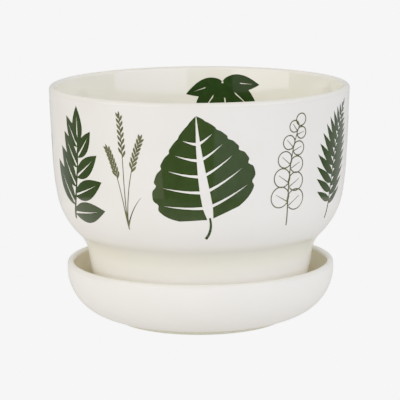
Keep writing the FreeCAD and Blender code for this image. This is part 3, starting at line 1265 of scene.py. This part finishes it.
@dataclass
class LeafPrint:
    """The print round the pot: solid green leaves with fine olive sprigs between them."""

    pot: Pot
    thickness: float = 0.06  # mm that the ink stands out, and as far into the wall
    grid: float = 2.4  # mm, the ink's largest step over the curved wall
    merge: float = 0.01  # mm within which two points become one
    outside_radius: float = 79.0
    inside_radius: float = 75.0
    transfers: list[Transfer] = field(default_factory=list)

    def __post_init__(self) -> None:
        """Lay the motifs out: two rounds of six outside, and three sprays inside."""
        if self.transfers:
            return
        for half in (0.0, 180.0):
            self.transfers += [
                Transfer(LaurelTwig(), half - 60, 67, -14),
                Transfer(SeedGrass(), half - 29, 68, 0),
                Transfer(BroadLeaf(), half + 5, 67, 14),
                Transfer(CoinSprig(), half + 36, 67, -4),
                Transfer(FernFrond(), half + 61, 68, -10),
                Transfer(SeedGrass(heights=(54.0, 46.0, 38.0), leans=(4.0, -11.0, 15.0)), half + 91, 66, 0),
            ]
        for angle in (50.0, 170.0, 290.0):
            self.transfers.append(Transfer(HangingSpray(), angle, 10, 8, Face.INSIDE))

    def walls(self) -> dict[Face, WallFace]:
        """Read both faces of the pot's wall.

        Returns:
            Each face from the lip down.
        """
        faces = self.pot.faces()
        outside = walk(faces[Face.OUTSIDE], closed=False)
        inside = walk(faces[Face.INSIDE], closed=False)[::-1]
        return {Face.OUTSIDE: WallFace(outside, self.outside_radius, 1, self.pot.seat),
                Face.INSIDE: WallFace(inside, self.inside_radius, -1, self.pot.seat)}

    def fill(self, outlines: list[Outline]) -> tuple[list[Vector], Faces]:
        """Fill outlines with triangles small enough to follow the wall.

        Args:
            outlines: closed outlines in mm, which may overlap.

        Returns:
            The points, and the triangles' point numbers, all wound the same way.
        """
        points: list[Vector] = []
        loops: Faces = []
        for outline in outlines:
            start = len(points)
            for before, after in zip(outline, outline[1:] + outline[:1]):
                parts = max(1, math.ceil((after - before).length / self.grid))
                points += [before.lerp(after, part / parts) for part in range(parts)]
            loops.append(list(range(start, len(points))))
        low = Vector((min(p.x for p in points), min(p.y for p in points)))
        high = Vector((max(p.x for p in points), max(p.y for p in points)))
        for row in range(int((high.y - low.y) / self.grid) + 1):
            for column in range(int((high.x - low.x) / self.grid) + 1):
                points.append(low + Vector((column + 0.5 * (row % 2), row)) * self.grid)
        inside_only = 1
        found, _, triangles, _, _, sources = delaunay_2d_cdt(points, [], loops, inside_only, self.merge)
        triangles = [triangle for triangle, source in zip(triangles, sources) if source]
        used = sorted({number for triangle in triangles for number in triangle})
        rename = {number: place for place, number in enumerate(used)}
        return [found[number] for number in used], [[rename[n] for n in t] for t in triangles]

    def lay(self, transfer: Transfer, wall: WallFace) -> tuple[list[Vector], list[Vector], Faces]:
        """Lay one motif on the wall as a thin closed skin of ink.

        Args:
            transfer: the motif and its place.
            wall: the face that it lies on.

        Returns:
            The skin's points, normals and faces.
        """
        tilt = math.radians(transfer.tilt)
        flat, triangles = self.fill([moved(o, Vector((0, 0)), tilt) for o in transfer.drawing.outlines()])
        points: list[Vector] = []
        normals: list[Vector] = []
        for side in (1, -1):
            for spot in flat:
                angle = math.radians(transfer.angle) + wall.hand * spot.x / wall.radius
                point, normal = wall.lay(angle, transfer.drop - spot.y, side * self.thickness)
                points.append(point)
                normals.append(normal * side)
        count = len(flat)
        faces = list(triangles)
        faces += [[number + count for number in reversed(triangle)] for triangle in triangles]
        edges = {(a, b) for t in triangles for a, b in zip(t, t[1:] + t[:1])}
        faces += [[b, a, a + count, b + count] for a, b in sorted(edges) if (b, a) not in edges]
        return points, normals, faces

    def build(self) -> dict[Ink, Piece]:
        """Make the print, riding on the pot.

        Returns:
            One piece for each ink, without materials.
        """
        walls = self.walls()
        made: dict[Ink, Piece] = {}
        for ink in Ink:
            points: list[Vector] = []
            normals: list[Vector] = []
            faces: Faces = []
            for transfer in self.transfers:
                if transfer.drawing.ink is not ink:
                    continue
                more_points, more_normals, more_faces = self.lay(transfer, walls[transfer.face])
                faces += [[number + len(points) for number in face] for face in more_faces]
                points += more_points
                normals += more_normals
            piece = make_piece(f"pot_print_{ink.value}", points, normals, faces)
            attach(piece, "pot")
            made[ink] = piece
        return made

    def dress(self, pieces: dict[Ink, Piece], inks: dict[Ink, PrintInk]) -> None:
        """Give each piece of print its ink."""
        for ink, piece in pieces.items():
            piece.data.materials.append(inks[ink].material(f"print_{ink.value}"))


# The studio


@dataclass(frozen=True)
class Lamp:
    """A soft lamp that faces the pot and that the camera doesn't see."""

    name: str
    azimuth: float  # degrees from the camera's side towards the right
    elevation: float  # degrees
    distance: float  # m
    width: float  # m
    height: float  # m
    radiance: float
    tint: str = "#FFFFFF"
    spread: float = 180.0  # degrees that its light fans out over
    mirrored: bool = True  # whether gloss shows it

    def hang(self, aim: Vector) -> None:
        """Hang the lamp.

        Args:
            aim: the point that it faces, in metres.
        """
        data = bpy.data.lights.new(self.name, "AREA")
        data.shape = "RECTANGLE"
        data.size = self.width
        data.size_y = self.height
        data.energy = self.radiance * math.pi * self.width * self.height
        data.color = linear(self.tint)[:3]
        data.spread = math.radians(self.spread)
        lamp = bpy.data.objects.new(self.name, data)
        bpy.context.collection.objects.link(lamp)
        rise = math.radians(self.elevation)
        ray = round_the_axis(math.radians(self.azimuth), math.cos(rise), math.sin(rise))
        lamp.location = aim + ray * self.distance
        lamp.rotation_euler = ray.to_track_quat("Z", "Y").to_euler()
        lamp.visible_camera = False
        lamp.visible_glossy = self.mirrored


@dataclass
class Studio:
    """A pale sweep that only the camera sees, and the light on the pot.

    The light comes from three softboxes on each side, a small lamp above that fills the inside, a dim room
    and a white table.
    """

    pale: str = "#F6F6F6"
    sweep_radius: float = 9000.0  # mm
    sweep_lift: float = -0.5  # mm, clear of the saucer's ring
    sweep_bends: tuple[tuple[float, float], ...] = (  # its section, out and up in radii
        (0, 0), (1, 0), (1, 0.3), (0.9, 0.6), (0.6, 0.85), (0, 1))
    shoulder: float = 0.6  # how soon the camera's tones roll off
    tone_steps: tuple[float, ...] = (0.02, 0.05, 0.1, 0.17, 0.25, 0.35, 0.5, 0.65, 0.8)
    room_light: float = 1.5
    low_front: float = 0.2  # share of that light low in front and at the sides
    low_back: float = 0.6  # and low behind
    overhead: float = 0.2  # and overhead
    turning: tuple[float, float] = (0.3, 0.9)  # how far behind the low light changes, as a sine
    rising: tuple[float, float] = (-0.05, 0.5)  # how high it has become the full light
    closing: tuple[float, float] = (0.55, 0.8)  # how high that dims to the light overhead
    table_radius: float = 270.0  # mm
    table_lift: float = -0.3  # mm
    table_tint: str = "#FFFAF2"
    table_light: float = 1.15
    table_front: float = 0.35  # share of that light at the front edge
    table_fade: tuple[float, float] = (-0.26, -0.12)  # m behind the middle, from that edge to the full light
    lens: float = 193.5
    sensor: float = 36.0
    aim: float = 63.4  # mm above the floor
    distance: float = 1156.0  # mm
    elevation: float = 10.31  # degrees
    roll: float = -0.36
    view_end: float = 100.0  # m
    lamps: tuple[Lamp, ...] = (
        Lamp("left", -55, 10, 1.6, 1.57, 0.8, 4.6, "#FFF8F3"),
        Lamp("right", 43.5, 10, 1.6, 2.03, 0.8, 3.6, "#E2EAFF"),
        Lamp("left_high", -52, 42, 1.6, 1.3, 0.9, 1.9, "#FFF1DA"),
        Lamp("right_high", 42, 42, 1.6, 1.6, 0.9, 2.6, "#FFF6EE"),
        Lamp("left_spill", -52, -19, 1.6, 1.36, 0.75, 0.8, "#FFF0DC"),
        Lamp("right_spill", 42, -19, 1.6, 1.9, 0.75, 0.5, "#EEF2FF"),
        Lamp("top", 0, 90, 1.6, 0.13, 0.13, 0.32, spread=2.5, mirrored=False),
    )

    def build(self) -> None:
        """Set up the studio."""
        self.set_tones()
        self.light_room()
        self.lay_table()
        self.lay_sweep()
        for lamp in self.lamps:
            lamp.hang(Vector((0, 0, self.aim * MM)))
        self.set_camera()

    def set_tones(self) -> None:
        """Let bright tones roll off softly, as in the photograph."""
        view = bpy.context.scene.view_settings
        view.view_transform = "Standard"
        view.use_curve_mapping = True
        white = 1 / (1 - self.shoulder)  # the light whose tone is 1
        mapping = view.curve_mapping
        mapping.white_level = (white, white, white)
        all_channels = mapping.curves[3].points
        for share in self.tone_steps:
            light = share * white
            all_channels.new(share, light / (1 + self.shoulder * light))
        mapping.update()

    def light_room(self) -> None:
        """Fill the shadows: bright half way up the walls, dark overhead, and below darkest in front."""
        world = bpy.data.worlds.new("room")
        world.use_nodes = True
        tree = world.node_tree
        way = add_node(tree, "ShaderNodeTexCoord").outputs["Generated"]
        _, back, height = add_node(tree, "ShaderNodeSeparateXYZ", {0: way}).outputs
        low = add_node(tree, "ShaderNodeMapRange",
                       {"Value": back, "From Min": self.turning[0], "From Max": self.turning[1],
                        "To Min": self.room_light * self.low_front,
                        "To Max": self.room_light * self.low_back})
        wall = add_node(tree, "ShaderNodeMapRange",
                        {"Value": height, "From Min": self.rising[0], "From Max": self.rising[1],
                         "To Min": low.outputs[0], "To Max": self.room_light})
        ceiling = add_node(tree, "ShaderNodeMapRange",
                           {"Value": height, "From Min": self.closing[0], "From Max": self.closing[1],
                            "To Min": 1.0, "To Max": self.overhead})
        light = add_node(tree, "ShaderNodeMath", {0: wall.outputs[0], 1: ceiling.outputs[0]},
                         operation="MULTIPLY")
        set_inputs(tree, tree.nodes["Background"],
                   {"Color": (1.0, 1.0, 1.0, 1.0), "Strength": light.outputs[0]})
        bpy.context.scene.world = world

    def glow(self, tree: Tree, tint: Colour, light: Socket | float) -> None:
        """Make a material matt black with a glow.

        Args:
            tree: the material's node tree.
            tint: the glow's linear colour.
            light: its strength.
        """
        set_inputs(tree, tree.nodes[SHADER],
                   {"Base Color": (0.0, 0.0, 0.0, 1.0), "Roughness": 1.0, "Specular IOR Level": 0.0,
                    "Emission Color": tint, "Emission Strength": light})

    def lay_table(self) -> None:
        """Lay the white table, which lights the saucer from below and which the camera doesn't see."""
        disc = Straight(Vector((0, 0)), Vector((self.table_radius, 0)))
        piece = turn("table", [disc], self.table_lift, closed=False)
        material, tree, place = start_material("white_table")
        back = add_node(tree, "ShaderNodeSeparateXYZ", {0: place}).outputs[1]
        fade = add_node(tree, "ShaderNodeMapRange",
                        {"Value": back, "From Min": self.table_fade[0], "From Max": self.table_fade[1],
                         "To Min": self.table_light * self.table_front, "To Max": self.table_light})
        self.glow(tree, linear(self.table_tint), fade.outputs[0])
        piece.data.materials.append(material)
        piece.visible_camera = False

    def lay_sweep(self) -> None:
        """Lay the pale floor and the wall round it, which only the camera sees."""
        bends = [Vector(bend) * self.sweep_radius for bend in self.sweep_bends]
        section = [Straight(start, end) for start, end in zip(bends, bends[1:])]
        piece = turn("sweep", section, self.sweep_lift, closed=False)
        # The glow is what the camera's tones turn into the pale colour.
        red, green, blue = [tone / (1 - self.shoulder * tone) for tone in linear(self.pale)[:3]]
        material, tree, _ = start_material("pale_sweep")
        self.glow(tree, (red, green, blue, 1.0), 1.0)
        piece.data.materials.append(material)
        for ray in ("visible_diffuse", "visible_glossy", "visible_transmission", "visible_shadow"):
            setattr(piece, ray, False)

    def set_camera(self) -> None:
        """Set the camera at the photograph's angle."""
        data = bpy.data.cameras.new("camera")
        data.lens = self.lens
        data.sensor_width = self.sensor
        data.sensor_fit = "HORIZONTAL"
        data.clip_end = self.view_end
        camera = bpy.data.objects.new("camera", data)
        bpy.context.collection.objects.link(camera)
        rise = math.radians(self.elevation)
        place = Vector((0, -math.cos(rise), math.sin(rise))) * self.distance + Vector((0, 0, self.aim))
        pitch = Matrix.Rotation(math.pi / 2 - rise, 4, "X")
        roll = Matrix.Rotation(math.radians(self.roll), 4, "Z")
        camera.matrix_world = Matrix.Translation(place * MM) @ pitch @ roll
        bpy.context.scene.camera = camera


def main() -> None:
    """Build the saucer, the pot, its print and the studio."""
    logging.basicConfig(level=logging.INFO, format="%(name)s: %(message)s")
    dipped = CreamGlaze()
    # Poured glaze lies thick: warmer than the dip, whiter on the pot's floor and browner in the saucer. Its
    # darker tone inside the pot and in the saucer is partly painted shade, and the whiter pot floor is
    # painted light.
    poured_and_shaded = CreamGlaze(colour="#ECE9D9", cloud="#E9E6D4", pooled_and_painted_shading="#F6F4EA", skin=GlazeSkin(ior=1.6))
    # The saucer's inside: its warmer base and brown corner are partly painted shade under the pot's belly.
    saucer_poured_and_shaded = CreamGlaze(colour="#F2EAD2", cloud="#EFE6CC", pooled_and_painted_shading="#CBBB90")
    clay = BareClay()
    inks = {Ink.GREEN: PrintInk("#22330B", "#283A12"), Ink.OLIVE: PrintInk("#474B2C", "#585C3C"),
            # Inside, the gloss on the print shows little of the wall opposite.
            Ink.DEEP: PrintInk("#1A2D0E", "#1F3312", skin=GlazeSkin(ior=1.15))}
    saucer = Saucer()
    dish = saucer.build()
    saucer.dress(dish, dipped, saucer_poured_and_shaded, clay)
    pot = Pot()
    bowl = pot.build()
    pot.dress(bowl, dipped, poured_and_shaded, clay)
    leaves = LeafPrint(pot)
    prints = leaves.build()
    leaves.dress(prints, inks)
    for piece in (dish, bowl, *prints.values()):
        LOG.info("%s: %d faces", piece.name, len(piece.data.polygons))
    Studio().build()


if __name__ == "__main__":
    main()
